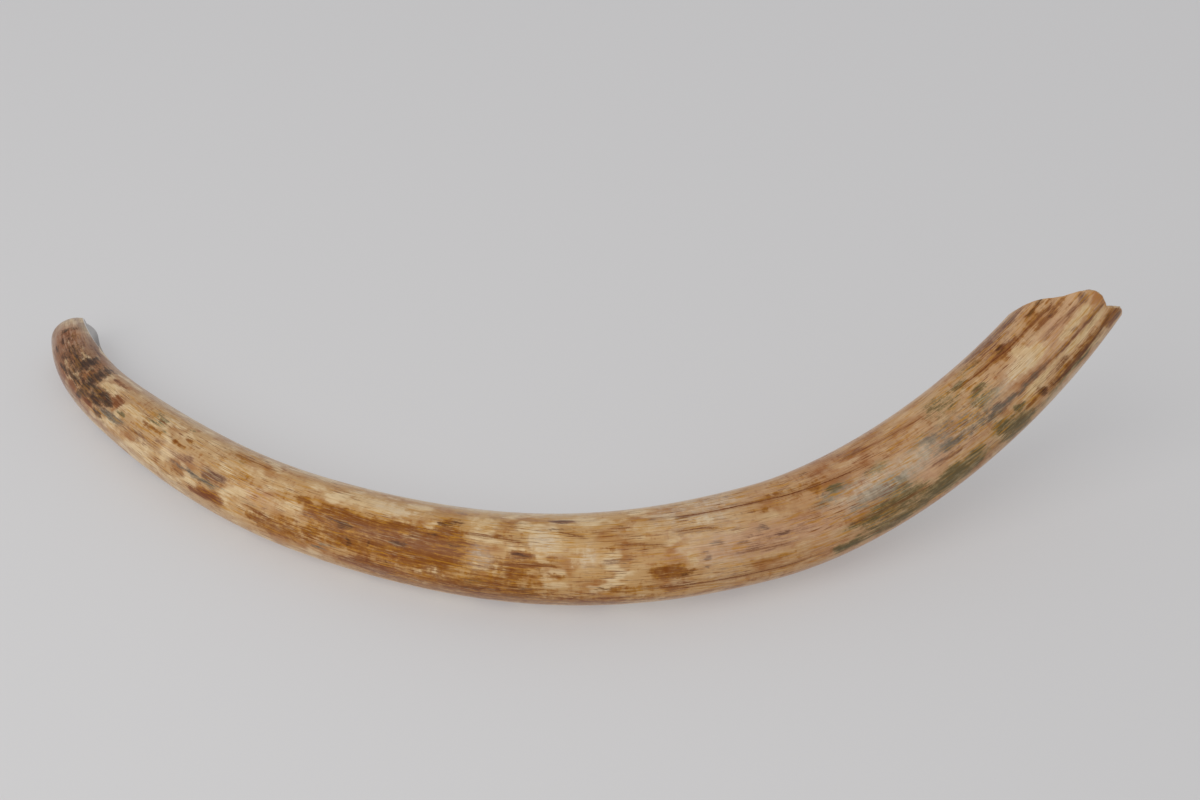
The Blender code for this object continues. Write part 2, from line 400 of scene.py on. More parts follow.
def skin_faces(ring_count):
    """Faces that join the rings, and close the tip and the bottom of the cavity."""
    tip = ring_count * SPOKES
    bottom = tip + 1
    last = (ring_count - 1) * SPOKES
    faces = []
    for spoke in range(SPOKES):
        following = (spoke + 1) % SPOKES
        faces.append((tip, spoke, following))
        for ring in range(ring_count - 1):
            near, far = ring * SPOKES, (ring + 1) * SPOKES
            faces.append((near + spoke, far + spoke, far + following, near + following))
        faces.append((bottom, last + following, last + spoke))
    return faces


points, share, angle, hollow, ring_count = tusk_skin()
middle = (points.min(axis=0) + points.max(axis=0)) / 2
points[:, :2] -= middle[:2]
points = np.clip(points, *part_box("tusk"))
mesh = bpy.data.meshes.new("tusk_ivory")
mesh.from_pydata(points.tolist(), [], skin_faces(ring_count))
mesh.validate()
mesh.shade_smooth()
mesh.set_sharp_from_angle(angle=math.radians(SHARP_FROM))
tusk = bpy.data.objects.new("tusk_ivory", mesh)
bpy.context.scene.collection.objects.link(tusk)


# The stains. Iron, peat and copper salts in the frozen ground soaked into the ivory along its
# grain: dark peat at the tip, amber across the middle, green towards the root. The whitish areas
# listed last are mostly painted sheen and soft painted highlights, partly paler ivory, and an
# amber wash along the underside of the belly is painted shade. Each stain is an area from share
# to share of the length, from degree to degree round, and how strong it is.
STAINS = {
    "salmon": (
        (.590, .705, 30, 72, .5), (.620, .700, -16, 4, .3),
        (.620, .730, 34, 68, .5), (.735, .795, 28, 60, .5), (.795, .862, 28, 70, .7),
        (.750, .772, 78, 93, .7), (.895, .985, 20, 50, .5), (.800, .815, 56, 72, .5),
        (.270, .320, 32, 58, .4), (.190, .240, 30, 50, .3), (.852, .862, 76, 86, .6),
        (.700, .726, 40, 90, .4), (.745, .762, 32, 40, .5), (.100, .200, 66, 76, .2),
        (.905, .975, 22, 54, .35), (.022, .056, -8, 20, .4), (.010, .030, -40, 0, .3),
        (.000, .026, -40, 50, .4),
    ),
    "cream": (
        (.136, .166, 14, 33, .8), (.190, .240, 0, 20, .35), (.240, .330, 2, 20, .4),
        (.268, .286, 40, 60, .6), (.265, .282, 76, 96, .5), (.222, .238, 68, 79, .5),
        (.340, .440, -18, 14, .45), (.362, .412, -6, 14, .6), (.384, .400, 36, 46, .6),
        (.455, .475, 52, 67, .8), (.458, .482, -14, 16, .6), (.505, .530, 2, 44, 1.),
        (.508, .520, 44, 70, .6), (.530, .550, 22, 60, .45), (.560, .600, 2, 18, .4),
        (.612, .640, 4, 20, .5), (.612, .622, 40, 70, .5), (.640, .660, 30, 38, .4),
        (.300, .330, 32, 56, .5), (.160, .235, 80, 108, .45), (.660, .700, 20, 34, .3),
        (.780, .860, -30, -8, .25), (.097, .121, 3, 27, .95), (.048, .057, -6, 3, .7),
        (.044, .052, 35, 45, .6), (.065, .078, 38, 47, .8), (.073, .082, 0, 22, .55),
        (.024, .033, 18, 34, .2), (.118, .132, 64, 80, .5), (.126, .138, -2, 8, .5),
        (.100, .112, 76, 92, .5), (.060, .090, 76, 100, .45), (.900, .945, 20, 46, .85),
        (.897, .932, 57, 72, .95), (.945, .990, 61, 72, .95), (.950, .988, 38, 52, .8),
        (.925, .950, 58, 64, .5), (.975, .990, 40, 50, .6), (.900, .945, -26, -10, .4),
        (.915, .930, 8, 22, .6), (.866, .872, 26, 44, .4), (.958, .985, 96, 104, .4),
    ),
    "amber": (
        (.164, .196, 22, 30, .6), (.198, .221, 22, 30, .65), (.209, .221, 8, 17, .8),
        (.246, .304, -10, -4, .6), (.262, .273, -6, 6, .4), (.268, .282, 14, 29, .45),
        (.230, .246, 16, 25, .3), (.284, .302, 65, 82, .5), (.311, .319, 17, 31, .5),
        (.321, .341, 20, 31, .9), (.332, .345, 28, 45, .5), (.338, .392, 18, 46, .8),
        (.336, .350, 54, 72, .8), (.355, .385, 44, 78, .6), (.390, .421, 21, 31, .9),
        (.400, .436, 42, 57, 1.), (.396, .450, 56, 76, .7), (.434, .458, -6, 76, .75),
        (.438, .456, 48, 74, .8), (.442, .459, 32, 44, .8), (.418, .438, 22, 42, .5),
        (.492, .509, 35, 47, .8), (.486, .528, 50, 58, .8), (.487, .501, 55, 80, .55),
        (.465, .480, 24, 50, .4), (.480, .489, 14, 24, .5), (.515, .528, 42, 50, .5),
        (.519, .529, 62, 68, .5), (.553, .570, 18, 40, .4), (.584, .614, 54, 79, .75),
        (.588, .618, 68, 78, .7), (.563, .572, -8, 6, .4), (.600, .645, 19, 30, .5),
        (.640, .690, 10, 20, .45), (.713, .732, 3, 18, .7), (.700, .707, 12, 18, .5),
        (.640, .740, -4, 8, .4), (.580, .740, 70, 82, .3), (.420, .520, 74, 104, .7),
        (.545, .600, 80, 96, .4), (.650, .662, -6, 0, .4), (.792, .806, 76, 84, .4),
        (.300, .335, 60, 92, .4), (.876, .978, -4, 9, .65), (.893, .912, 75, 84, 1.),
        (.916, .990, 74, 92, .85), (.978, .999, 74, 104, 1.), (.945, .974, -13, -3, .8),
        (.938, .985, 11, 20, .85), (.905, .922, -14, 12, .8), (.890, .945, 12, 18, .35),
        # The last area on the next line, amber along the underside from share .34 to .64, is painted
        # shade where the belly lies on the ground.
        (.962, .990, 22, 28, .4), (.868, .884, 2, 14, .4), (.340, .640, 92, 135, .7),
        (.325, .470, 18, 84, .6), (.284, .348, 56, 102, .55), (.395, .458, 18, 60, .4),
        # The area from share .62 to .72 at 96 to 130 degrees on the next line is more of that painted
        # shade along the underside.
        (.340, .455, 22, 60, .35), (.620, .720, 96, 130, .3), (.450, .530, 42, 86, .5),
        (.415, .470, 16, 60, .5), (.486, .512, 32, 52, .5),
    ),
    "rust": (
        (.010, .115, 50, 116, .5), (.872, .948, -34, -4, .45), (.238, .268, 62, 92, 1.),
        (.230, .246, 77, 89, .8), (.314, .326, 79, 96, .6), (.364, .424, 74, 112, .75),
        (.296, .312, 88, 98, .4), (.425, .500, 78, 112, .35), (.500, .560, 86, 104, .45),
        (.590, .620, 80, 104, .5), (.545, .580, 96, 106, .4), (.805, .850, 54, 64, .55),
        (.655, .670, 98, 110, .3), (.400, .424, 60, 80, .5), (.620, .720, 88, 98, .25),
        (.478, .500, 86, 98, .4), (.296, .303, -2, 12, .3), (.104, .126, -20, -4, .4),
        (.955, .972, 10, 20, .5), (.940, .968, -16, -2, .35), (.062, .079, 54, 70, .95),
        (.087, .108, 57, 71, 1.), (.076, .084, -12, 52, .8), (.121, .139, 6, 40, .8),
        (.100, .124, -16, -2, .5), (.046, .058, 14, 32, .6), (.040, .060, 60, 72, .4),
        (.118, .134, 70, 80, .4), (.110, .124, 44, 48, .4), (.004, .040, -20, 60, .55),
    ),
    "mauve": (
        (.880, .950, -46, -14, .7), (.895, .935, -12, 6, .4),
        (.198, .238, 33, 49, .55), (.238, .268, 33, 53, .85), (.186, .200, 32, 45, .5),
        (.150, .200, 40, 62, .5), (.200, .245, 50, 62, .4), (.515, .539, -16, -5, 1.),
        (.536, .558, -14, -8, .4), (.443, .457, -21, -13, .6), (.629, .640, 41, 47, .6),
        (.622, .630, 49, 54, .6), (.623, .630, 56, 61, .7), (.649, .657, 46, 52, .6),
        (.657, .660, 43, 47, .7), (.678, .689, 48, 52, .8), (.665, .675, 34, 41, .5),
        (.646, .650, 56, 60, .5), (.640, .692, 59, 65, .35), (.553, .577, 45, 53, .6),
        (.752, .778, -16, -7, .7), (.650, .657, -21, -14, .7), (.778, .792, 42, 52, .8),
        (.620, .720, 36, 66, .3), (.300, .306, 48, 60, .4), (.330, .345, 38, 50, .4),
        (.740, .770, -30, -14, .3), (.320, .365, -40, -24, .3), (.372, .380, -34, -24, .3),
        (.868, .902, 46, 60, .9), (.895, .940, 48, 57, .75), (.935, .970, 54, 61, .75),
        (.965, .999, 56, 64, .8), (.984, .993, 27, 39, .85), (.962, .969, 44, 57, .6),
        (.938, .962, 27, 31, .5), (.960, .990, 31, 38, .55), (.914, .920, 47, 56, .6),
        (.930, .960, -40, -18, .4), (.876, .890, 36, 44, .4), (.020, .044, -30, -6, .4),
        (.116, .134, 52, 60, .5), (.015, .110, 62, 112, .35),
    ),
    "slate": (
        (.800, .872, 18, 62, .5), (.736, .806, 30, 66, .45), (.718, .760, 16, 34, .35),
        (.205, .272, 53, 60, .5), (.241, .257, 51, 64, .9), (.350, .361, 74, 79, .6),
        (.342, .360, 85, 90, .6), (.350, .356, 78, 82, .3), (.755, .792, 38, 60, .7),
        (.825, .842, 42, 54, .75), (.835, .866, 45, 56, .4), (.713, .740, 22, 40, .55),
        (.738, .760, 40, 60, .4), (.770, .790, 54, 66, .5), (.796, .830, 24, 33, .5),
        (.240, .250, -9, -1, .3), (.280, .300, 55, 60, .4), (.730, .738, 54, 62, .4),
        (.660, .676, 35, 41, .25), (.112, .152, 45, 63, .85), (.868, .902, 48, 58, .6),
        (.860, .880, 40, 60, .5), (.866, .896, 22, 42, .6), (.870, .880, -3, 2, .9),
        (.060, .071, -20, 24, .5), (.082, .094, -26, -2, .6), (.116, .121, 36, 43, .8),
        (.000, .020, -60, -10, .4), (.962, .972, 98, 106, .5), (.900, .930, 50, 56, .5),
        (.085, .096, -40, -22, .4),
    ),
    "green": (
        (.828, .868, -20, 22, .5), (.870, .900, -30, 0, .35), (.765, .800, 56, 72, .4),
        (.163, .190, -16, 20, .35), (.176, .188, -2, 12, .4), (.164, .187, 13, 19, .5),
        (.135, .149, 33, 43, .7), (.206, .214, -13, -4, .55), (.728, .744, 15, 25, .8),
        (.760, .787, 17, 31, .6), (.712, .745, 24, 36, .35), (.726, .802, 66, 76, .8),
        (.734, .805, 58, 98, .6), (.717, .745, 88, 104, 1.), (.740, .800, 88, 108, .8),
        (.790, .862, 74, 104, .9), (.812, .832, 70, 82, .8), (.838, .857, 69, 81, .8),
        (.774, .792, 40, 64, .4), (.260, .270, -2, 8, .3), (.810, .825, 15, 23, .4),
        (.186, .196, 18, 24, .6), (.460, .476, 80, 88, .3), (.862, .885, 60, 86, .85),
        (.866, .904, 74, 112, .85), (.866, .886, 12, 22, .85), (.868, .895, 20, 42, .5),
        (.864, .878, -9, 3, .75), (.888, .899, 64, 76, .8), (.918, .972, 84, 98, .7),
        (.900, .930, 88, 110, .4), (.061, .071, 4, 26, .5), (.084, .094, -14, 6, .5),
        (.955, .985, 86, 96, .3), (.865, .880, 12, 40, .3),
    ),
    "umber": (
        (.361, .377, 37, 48, .8), (.351, .365, 36, 43, .6), (.434, .448, 7, 17, .8),
        (.444, .459, 34, 42, .8), (.444, .458, -4, 12, .5), (.489, .510, 40, 44, .8),
        (.402, .420, 45, 54, .8), (.415, .427, 32, 40, .6), (.431, .440, 25, 33, .5),
        (.371, .376, 54, 74, .7), (.363, .367, 55, 62, .5), (.387, .390, 54, 64, .7),
        (.402, .407, 74, 84, .6), (.341, .347, 56, 68, .6), (.460, .463, 76, 84, .5),
        (.486, .500, -5, -2, .6), (.514, .538, 4, 7, .7), (.544, .564, 84, 87, .7),
        (.488, .508, 84, 87, .5), (.495, .506, 45, 48, .5),
        (.609, .622, -1, 5, .9), (.588, .598, -6, 1, .6), (.605, .617, 70, 77, .7),
        (.716, .728, -21, -12, .5), (.254, .258, -26, -18, .4), (.278, .282, -26, -18, .5),
        (.567, .573, 4, 8, .6), (.703, .706, 12, 18, .6), (.623, .627, 68, 72, .6),
        (.643, .648, 83, 89, .5), (.910, .919, 66, 88, .7), (.912, .918, 76, 85, 1.),
        (.910, .919, -13, 6, .85), (.950, .958, -10, -4, .9), (.958, .972, -14, -3, .9),
        (.945, .978, 4, 9, .8), (.955, .972, 12, 19, .65), (.918, .985, 79, 90, .75),
        (.981, .999, 78, 102, .25), (.984, .990, 72, 84, .5), (.928, .950, 65, 76, .5),
        (.872, .879, -5, 4, .8), (.990, .999, 92, 106, .9), (.440, .530, 78, 110, .35),
    ),
    "peat": (
        (.008, .016, -28, 48, .6), (.034, .045, -20, 56, .5), (.020, .034, 40, 66, .5),
        (.046, .060, 2, 34, .45), (.040, .060, 46, 64, .85), (.056, .080, 44, 54, 1.),
        (.059, .073, -26, 32, .9), (.060, .067, 30, 44, .5), (.082, .096, -28, 66, .97),
        (.094, .128, 19, 42, .97), (.094, .116, 42, 57, 1.), (.078, .088, 58, 73, .9),
        (.106, .123, 60, 76, .9), (.116, .131, 30, 44, .95), (.030, .062, -44, -26, .4),
        (.098, .125, -14, -3, .3), (.028, .098, -24, 62, .5), (.076, .126, 20, 62, .55),
        (.082, .122, 40, 60, .5), (.018, .030, -14, 54, .5),
        (.072, .100, -40, 0, .35),
    ),
    # Mostly painted sheen along the top limb inside the bend and near the tip, and soft painted
    # highlights near the root and belly; partly paler ivory.
    "painted_sheen_and_pale": (
        (.330, .640, -78, -20, .6), (.140, .340, -74, -22, .3), (.000, .030, -60, -24, .5),
        (.640, .720, -60, -28, .3), (.872, .905, 28, 44, .25), (.895, .930, 22, 44, .3),
        (.380, .420, -10, 12, .3),
        (.505, .525, 4, 40, .5), (.462, .480, 30, 66, .3), (.540, .552, 24, 58, .3),
        (.590, .665, -70, 40, .4), (-.020, .009, -70, 60, .4), (.900, .960, 96, 125, .4),
        (.622, .655, 40, 110, .2), (.720, .830, 20, 60, .35),
    ),
}
STAIN_REPEAT = (                # how the same kinds lie on the far side: degrees and share moved by
    (128.0, 0.034),
    (236.0, -0.021),
)
FAR_JITTER = (0.03, 14.0)       # share and degrees that each far stain is moved at random
STAIN_EDGE = (1.4, 0.35)        # in half-widths: where a stain starts to show, and is full
STAIN_CORNER = (2.4, 1.7)       # powers along and across: 2 and 2 make an ellipse, these a leaf
NEAR_MIDDLE = 22.5              # degrees: the middle of the side that the listed stains are on
NEAR_HALF = 102.5               # degrees to each side of it
NEAR_BLEND = (5.0, 20.0)        # degrees past that, between which the far side's stains take over
FAR_SEED = 40
DRIFT_LAYERS = (                # how the stains' ends wander: mm, cell length, cell degrees, seed
    (2.4, 9.0 * MM, 8.0, 21), (1.4, 4.0 * MM, 3.0, 22),
)
WOBBLE_LAYERS = (               # and their sides: degrees, cell length, cell degrees, seed
    (2.4, 14.0 * MM, 8.0, 23), (1.6, 5.0 * MM, 4.0, 24),
)


def stain_cover(share, angle, stains):
    """How much of the ivory these stains cover, from 0 to 1."""
    clean = np.ones(len(share))
    for start, end, low, high, strength in stains:
        along = np.abs((share - (start + end) / 2) / ((end - start) / 2))
        across = np.abs(angle_between(angle, (low + high) / 2) / ((high - low) / 2))
        away = (along ** STAIN_CORNER[0] + across ** STAIN_CORNER[1]) ** 0.5
        clean *= 1 - strength * smooth_step(STAIN_EDGE[0], STAIN_EDGE[1], away)
    return 1 - clean


def far_stains(stains, seed):
    """The same kinds of stain for the side that lies away, moved about."""
    chance = np.random.default_rng(seed)
    moved = []
    for turn, shift in STAIN_REPEAT:
        for start, end, low, high, strength in stains:
            along = shift + chance.uniform(-1, 1) * FAR_JITTER[0]
            round_by = turn + chance.uniform(-1, 1) * FAR_JITTER[1]
            moved.append((start + along, end + along, low + round_by, high + round_by, strength))
    return moved


def mark(name, values):
    """Give each point of the skin a value that the finish reads."""
    mesh.attributes.new(name, "FLOAT", "POINT").data.foreach_set("value", values.astype(np.float32))


stain_share = share + wander_layers(share, angle, DRIFT_LAYERS) * MM / LENGTH
stain_angle = angle + wander_layers(share, angle, WOBBLE_LAYERS)
beyond = np.abs(angle_between(angle, NEAR_MIDDLE)) - NEAR_HALF
far_side = smooth_step(NEAR_BLEND[0], NEAR_BLEND[1], beyond)
for number, (kind, stains) in enumerate(STAINS.items()):
    near = stain_cover(stain_share, stain_angle, stains)
    far = stain_cover(stain_share, stain_angle, far_stains(stains, FAR_SEED + number))
    mark(kind, near * (1 - far_side) + far * far_side)

radius_at = station(np.minimum(share, 1) * LENGTH)[3]
crack_side, crack = crack_lines(np.maximum(share, 0), angle, radius_at)
mark("crack_side", crack_side)
mark("crack", crack)
mark("hollow", hollow)
mark("share", share)
mark("facet_side", np.radians(past_edge(share * LENGTH, angle)) * radius_at)
turned = np.radians(angle - GRAIN_TURN * (share - 1))
grain = np.stack([share * LENGTH, radius_at * np.cos(turned), radius_at * np.sin(turned)], -1)
grain_places = mesh.attributes.new("grain", "FLOAT_VECTOR", "POINT")
grain_places.data.foreach_set("vector", grain.astype(np.float32).ravel())


# The ivory's colour. Fossil ivory is cream to tan, with fine streaks along the grain, and its
# colour is broken up by mottling at every scale. The stains lie over it, kind by kind, and the
# painted sheen and highlights with them.
IVORY_TONES = (                 # share of the length and the ivory's own colour there
    (0.00, (168, 140, 124)),
    (0.04, (156, 116, 84)),
    (0.10, (196, 156, 112)),
    (0.18, (204, 166, 118)),
    (0.30, (206, 164, 112)),
    (0.42, (198, 152, 96)),
    (0.50, (206, 164, 108)),
    (0.62, (206, 162, 108)),
    (0.74, (194, 146, 102)),
    (0.86, (202, 160, 116)),
    (1.00, (212, 168, 122)),
)
STAIN_TONES = {                 # light and dark shade of each kind of stain
    "salmon": ((222, 182, 146), (202, 154, 116)),
    "cream": ((244, 218, 172), (222, 188, 138)),
    "amber": ((196, 134, 26), (134, 72, 0)),
    "rust": ((168, 104, 52), (122, 62, 20)),
    "mauve": ((172, 126, 98), (112, 74, 56)),
    "slate": ((160, 149, 128), (102, 94, 80)),
    "green": ((162, 146, 98), (100, 86, 48)),
    "umber": ((150, 92, 32), (84, 42, 6)),
    "peat": ((160, 106, 66), (62, 39, 24)),
    # The whitish tones of the painted sheen and highlights, partly paler ivory.
    "painted_sheen_and_pale": ((240, 226, 200), (222, 200, 168)),
}
# What breaks up the edge of each kind: shares of streaks, bands, blocks, mottle and specks. The
# last number is how crisp the edge is.
STAIN_BREAKS = {
    "salmon": (0.1, 0.4, 0.2, 0.3, 0.0, 0.3),
    "cream": (0.1, 0.3, 0.3, 0.3, 0.0, 0.5),
    "amber": (0.15, 0.35, 0.3, 0.2, 0.0, 0.5),
    "rust": (0.25, 0.4, 0.05, 0.2, 0.1, 0.5),
    "mauve": (0.4, 0.3, 0.0, 0.2, 0.1, 0.3),
    "slate": (0.1, 0.3, 0.0, 0.5, 0.1, 0.3),
    "green": (0.2, 0.3, 0.0, 0.3, 0.2, 0.5),
    "umber": (0.35, 0.35, 0.0, 0.1, 0.2, 0.5),
    "peat": (0.0, 0.2, 0.0, 0.4, 0.4, 0.45),
    # How the edges of the painted sheen and highlights break up.
    "painted_sheen_and_pale": (0.1, 0.4, 0.2, 0.3, 0.0, 0.2),
}
STAIN_SHADES = (("bands", 0.4), ("mottle", 0.4), ("streaks", 0.2))  # what varies their shade
SHADE_BY_COVER = 0.5            # how much a full cover darkens the shade
SHADE_SPAN = (0.4, 1.0)
RAGGED = 5.6                    # how far noise breaks up the edge of a stain
CRISP = (0.28, 0.62)            # cover over which a stain's edge comes up
NOISE_SPAN = (0.3, 0.7)         # the noise is stretched from this to between 0 and 1
NOISES = {                      # cell length along the grain and width across, detail, roughness,
    "streaks": (45.0 * MM, 1.1 * MM, 4, 0.65, 0.0),     # and a shift that sets each apart
    "bands": (28.0 * MM, 3.2 * MM, 4, 0.6, 5.3),
    "mottle": (7.0 * MM, 4.5 * MM, 5, 0.7, 1.7),
    "clouds": (40.0 * MM, 22.0 * MM, 3, 0.5, 8.9),
    "specks": (2.6 * MM, 1.5 * MM, 3, 0.6, 4.4),
    "patches": (34.0 * MM, 15.0 * MM, 3, 0.5, 12.6),
    "blocks": (6.0 * MM, 14.0 * MM, 3, 0.5, 2.2),
}
TONE_WANDER = 0.03              # share of the length that the ivory's own tones wander by
TONE_CELL = (60.0 * MM, 40.0 * MM, 3.0, 0.55, 3.1)
DUSK_TONE = (212, 174, 132)     # what the ivory is multiplied by where it is duller
DUSK_CLOUDS = (0.45, 0.95, 0, 0.8)      # noise from and to, dullness from and to
DUSK_BLOCKS = (0.5, 0.85, 0, 0.8)
CREAM_PATCHES = (0.5, 0.1, 0, 0.7)
CREAM_FADE = (0.56, 0.68, 1, 0.3)       # share of the length over which those patches thin out
STREAK_LAYERS = (               # tone, cell length and width, noise from and to, strength, shift
    (STAIN_TONES["amber"][0], 24.0 * MM, 1.9 * MM, 0.5, 0.85, 0.7, 31.0),
    (STAIN_TONES["rust"][1], 26.0 * MM, 1.1 * MM, 0.6, 0.9, 0.85, 47.0),
    (STAIN_TONES["cream"][0], 20.0 * MM, 1.6 * MM, 0.6, 0.9, 0.25, 63.0),
)
STREAK_CLOUD = (70.0 * MM, 22.0 * MM, 2, 0.5)   # the areas that streaks gather in
STREAK_CLOUD_SPAN = (0.25, 0.75, 0.15, 1)
STREAK_CLOUD_SHIFT = 20.0
STREAK_TIP = (0.08, 0.15, 0.35, 1)      # share of the length below which they are fainter
FINE_STREAKS = (1.06, 0.9)      # how much the finest streaks lighten and darken everything
COLOUR_FULL = 255.0


def tone(colour):
    """A screen colour, 0 to 255, as the linear colour that a shader takes."""
    parts = [part / COLOUR_FULL for part in colour]
    linear = [
        part / 12.92 if part <= 0.04045 else ((part + 0.055) / 1.055) ** 2.4 for part in parts
    ]
    return (*linear, 1.0)


def shader_node(tree, kind, wires=(), **settings):
    """Add a node. Wires are (input, value or socket) pairs."""
    node = tree.nodes.new(kind)
    for name, value in settings.items():
        setattr(node, name, value)
    for socket, value in wires:
        if isinstance(value, bpy.types.NodeSocket):
            tree.links.new(value, node.inputs[socket])
        else:
            node.inputs[socket].default_value = value
    return node


def attribute(tree, name):
    """What is marked on the skin under that name."""
    node = shader_node(tree, "ShaderNodeAttribute", attribute_name=name)
    return node.outputs["Vector" if name == "grain" else "Fac"]


def sums(tree, operation, *values, clamp=False):
    """The result of one sum."""
    node = shader_node(
        tree, "ShaderNodeMath", enumerate(values), operation=operation, use_clamp=clamp
    )
    return node.outputs[0]


def ease(tree, value, low, high, start=0.0, end=1.0, way="SMOOTHSTEP"):
    """Value from low to high, eased to between start and end."""
    wires = [
        ("Value", value), ("From Min", low), ("From Max", high), ("To Min", start), ("To Max", end),
    ]
    return shader_node(tree, "ShaderNodeMapRange", wires, interpolation_type=way).outputs[0]


def lay(tree, under, over, amount, way="MIX"):
    """Lay one colour over another."""
    wires = [(0, amount), (6, under), (7, over)]
    return shader_node(tree, "ShaderNodeMix", wires, data_type="RGBA", blend_type=way).outputs[2]


def grain_noise(tree, along, across, detail=3.0, rough=0.55, shift=0.0):
    """Noise from 0 to 1 with cells of this length along the grain and this width across it."""
    cells = (1 / along, 1 / across, 1 / across)
    wires = [(0, attribute(tree, "grain")), (1, cells), (2, (shift, shift, shift))]
    place = shader_node(tree, "ShaderNodeVectorMath", wires, operation="MULTIPLY_ADD").outputs[0]
    wires = [("Vector", place), ("Scale", 1.0), ("Detail", detail), ("Roughness", rough)]
    noise = shader_node(tree, "ShaderNodeTexNoise", wires).outputs[0]
    return ease(tree, noise, NOISE_SPAN[0], NOISE_SPAN[1], way="LINEAR")


def mean(tree, *parts):
    """Add up (socket, share) pairs."""
    total = 0.0
    for socket, part in parts:
        total = sums(tree, "MULTIPLY_ADD", socket, part, total)
    return total


def ivory_tone_ramp(tree):
    """The ivory's own colour along the tusk."""
    noise = grain_noise(tree, *TONE_CELL)
    wander_by = sums(tree, "MULTIPLY_ADD", noise, TONE_WANDER, -TONE_WANDER / 2)
    place = sums(tree, "ADD", attribute(tree, "share"), wander_by)
    ramp = shader_node(tree, "ShaderNodeValToRGB", [("Fac", place)])
    while len(ramp.color_ramp.elements) < len(IVORY_TONES):
        ramp.color_ramp.elements.new(0.5)
    for element, (at, colour) in zip(ramp.color_ramp.elements, IVORY_TONES):
        element.position = at
        element.color = tone(colour)
    return ramp.outputs["Color"]


def ragged(tree, cover, noise):
    """A cover from 0 to 1 whose half-covered parts are broken up by noise."""
    give = sums(tree, "MULTIPLY", cover, sums(tree, "SUBTRACT", 1.0, cover))
    shift = sums(tree, "MULTIPLY", give, sums(tree, "MULTIPLY_ADD", noise, RAGGED, -RAGGED / 2))
    return sums(tree, "ADD", cover, shift, clamp=True)


def stain_layer(tree, colour, kind, noise, shades):
    """One kind of stain: its edges broken up by some noises, its shade varied by another."""
    *parts, crispness = STAIN_BREAKS[kind]
    names = ("streaks", "bands", "blocks", "mottle", "specks")
    breaks = mean(tree, *[(noise[name], part) for name, part in zip(names, parts) if part])
    cover = attribute(tree, kind)
    soft = ragged(tree, cover, breaks)
    crisp = ease(tree, soft, *CRISP, 0, crispness)
    amount = sums(tree, "MULTIPLY_ADD", soft, 1 - crispness, crisp)
    light, dark = STAIN_TONES[kind]
    depth = mean(tree, (shades, 1.0), (cover, SHADE_BY_COVER))
    shade = lay(tree, tone(light), tone(dark), ease(tree, depth, *SHADE_SPAN))
    return lay(tree, colour, shade, amount)


def streak_layer(tree, colour, over, along, across, low, high, strength, shift):
    """Streaks of a colour along the grain, gathered in cloudy areas."""
    streak = grain_noise(tree, along, across, 3, 0.6, shift)
    cloud = grain_noise(tree, *STREAK_CLOUD, shift + STREAK_CLOUD_SHIFT)
    where = ease(tree, cloud, *STREAK_CLOUD_SPAN)
    where = sums(tree, "MULTIPLY", where, ease(tree, attribute(tree, "share"), *STREAK_TIP))
    amount = sums(tree, "MULTIPLY", ease(tree, streak, low, high, 0, strength), where)
    return lay(tree, colour, tone(over), amount)


def stained_colour(tree, noise):
    """The ivory's own colour, dull and creamy areas, stains with painted sheen and shade, streaks."""
    colour = ivory_tone_ramp(tree)
    paler = ease(tree, attribute(tree, "share"), *CREAM_FADE)
    dusk = lay(tree, colour, tone(DUSK_TONE), 1.0, "MULTIPLY")
    colour = lay(tree, colour, dusk, ease(tree, noise["clouds"], *DUSK_CLOUDS))
    broad = mean(tree, (noise["blocks"], 0.5), (noise["bands"], 0.5))
    colour = lay(tree, colour, dusk, ease(tree, broad, *DUSK_BLOCKS))
    creamy = sums(tree, "MULTIPLY", ease(tree, noise["patches"], *CREAM_PATCHES), paler)
    colour = lay(tree, colour, tone(STAIN_TONES["cream"][0]), creamy)
    shades = mean(tree, *[(noise[name], part) for name, part in STAIN_SHADES])
    # The stains go on kind by kind, and with them the painted sheen and highlights.
    for kind in STAIN_TONES:
        colour = stain_layer(tree, colour, kind, noise, shades)
    for layer in STREAK_LAYERS:
        colour = streak_layer(tree, colour, *layer)
    fine = ease(tree, noise["streaks"], 0, 1, *FINE_STREAKS, "LINEAR")
    fine = shader_node(tree, "ShaderNodeCombineXYZ", [(0, fine), (1, fine), (2, fine)]).outputs[0]
    return lay(tree, colour, fine, 1.0, "MULTIPLY")


# The cracks. Water ran into each drying crack and left a dark thread in it, with a browner halo
# in the ivory to both sides.
CRACK_TONE = (112, 54, 8)
CRACK_HALO_TONE = (140, 82, 24)
CRACK_JAG = 1.0 * MM            # how far a crack's line jumps about
CRACK_THREAD = (0.2 * MM, 1.1 * MM, 1, 0)       # distance from the line, cover
CRACK_HALO = (0.6 * MM, 6.0 * MM, 0.8, 0)
CRACK_BREAKS = (0.9, 0.3, 0.35, 1)      # noise from and to, how much of the thread is left
HALO_BREAKS = (0.2, 0.8, 0.3, 1)


def crack_threads(tree, colour, noise):
    """Colour with the dark thread and brown halo of each crack, and the cover of the threads."""
    jag = sums(tree, "MULTIPLY_ADD", noise["specks"], CRACK_JAG, -CRACK_JAG / 2)
    off_line = sums(tree, "ADD", attribute(tree, "crack_side"), jag)
    off_line = sums(tree, "ABSOLUTE", off_line)
    crack = attribute(tree, "crack")
    broken = ease(tree, noise["bands"], *CRACK_BREAKS)
    thread = sums(tree, "MULTIPLY", ease(tree, off_line, *CRACK_THREAD), crack)
    thread = sums(tree, "MULTIPLY", thread, broken)
    halo = sums(tree, "MULTIPLY", ease(tree, off_line, *CRACK_HALO), crack)
    halo = sums(tree, "MULTIPLY", halo, ease(tree, noise["streaks"], *HALO_BREAKS))
    colour = lay(tree, colour, tone(CRACK_HALO_TONE), halo)
    return lay(tree, colour, tone(CRACK_TONE), thread), thread
